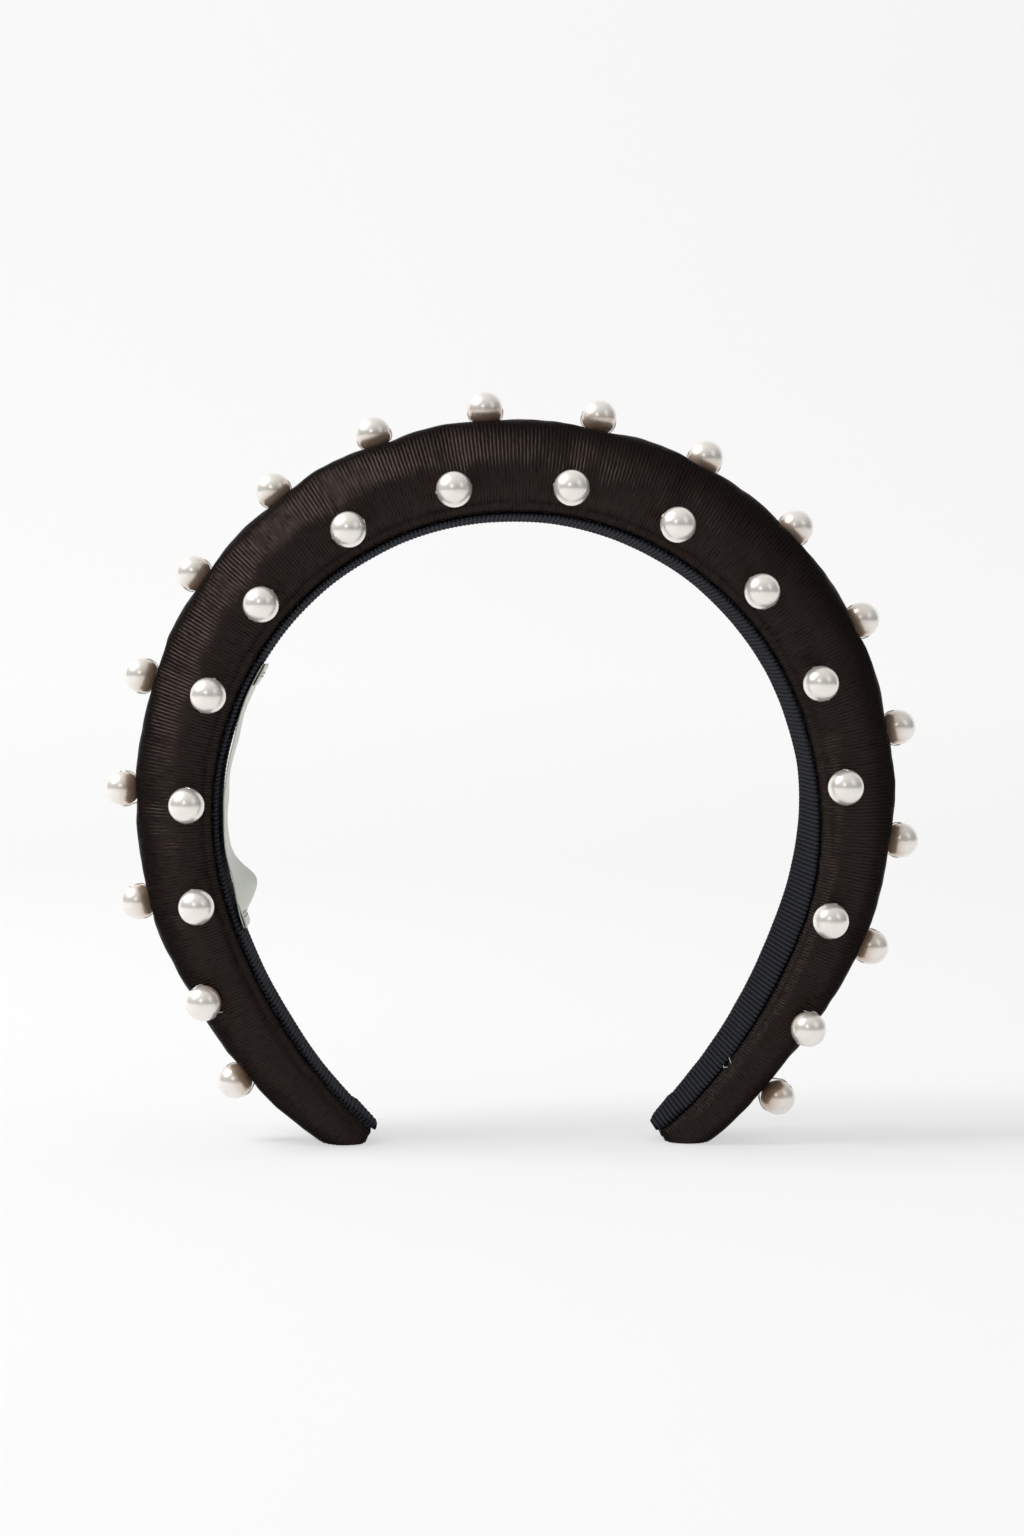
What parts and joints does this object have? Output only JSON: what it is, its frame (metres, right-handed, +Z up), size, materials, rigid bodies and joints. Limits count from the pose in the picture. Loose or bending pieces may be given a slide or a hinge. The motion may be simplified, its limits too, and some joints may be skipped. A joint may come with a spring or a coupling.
{
  "type": "padded headband",
  "caption": "Padded satin hoop headband with three rows of sewn-on faux pearls, a ribbed ribbon lining and a blank label, springing open at the crown.",
  "frame": {"origin": "on the surface that the two tips stand on, midway between them and midway through the band's depth", "axes": "+Z up to the crown, +X to the leg that has no label, +Y through the hoop away from the wearer's forehead side"},
  "size_m": [0.1856, 0.0564, 0.1706],
  "materials": {
    "satin": "heavy black satin with a soft sheen",
    "ribbon": "matt blue-black grosgrain ribbon",
    "core": "moulded plastic strip",
    "foam": "soft open-cell foam",
    "label": "white woven satin label, blank",
    "thread": "pale sewing thread, as on the label",
    "pearl": "pearl-coated plastic bead, warm white"
  },
  "bodies": {
    "left_half": {"core_left": "core", "foam_left": "foam", "cover_left": "satin", "lining_left": "ribbon", "label": "label", "label_tack_upper": "thread", "label_tack_lower": "thread", "pearl_front_01": "pearl", "pearl_front_02": "pearl", "pearl_front_03": "pearl", "pearl_front_04": "pearl", "pearl_front_05": "pearl", "pearl_front_06": "pearl", "pearl_front_07": "pearl", "pearl_ridge_01": "pearl", "pearl_ridge_02": "pearl", "pearl_ridge_03": "pearl", "pearl_ridge_04": "pearl", "pearl_ridge_05": "pearl", "pearl_ridge_06": "pearl", "pearl_ridge_07": "pearl", "pearl_ridge_08": "pearl", "pearl_back_01": "pearl", "pearl_back_02": "pearl", "pearl_back_03": "pearl", "pearl_back_04": "pearl", "pearl_back_05": "pearl", "pearl_back_06": "pearl", "pearl_back_07": "pearl"},
    "right_half": {"core_right": "core", "foam_right": "foam", "cover_right": "satin", "lining_right": "ribbon", "pearl_front_08": "pearl", "pearl_front_09": "pearl", "pearl_front_10": "pearl", "pearl_front_11": "pearl", "pearl_front_12": "pearl", "pearl_front_13": "pearl", "pearl_front_14": "pearl", "pearl_ridge_09": "pearl", "pearl_ridge_10": "pearl", "pearl_ridge_11": "pearl", "pearl_ridge_12": "pearl", "pearl_ridge_13": "pearl", "pearl_ridge_14": "pearl", "pearl_ridge_15": "pearl", "pearl_ridge_16": "pearl", "pearl_back_08": "pearl", "pearl_back_09": "pearl", "pearl_back_10": "pearl", "pearl_back_11": "pearl", "pearl_back_12": "pearl", "pearl_back_13": "pearl", "pearl_back_14": "pearl"}
  },
  "joints": [
    {"name": "crown_flex", "type": "hinge", "parent": "left_half", "child": "right_half", "pos_m": [0, 0, 0.16262], "axis": [0, -1, 0], "range_deg": [0, 25], "stiffness_Nm_per_rad": 1.4}
  ]
}
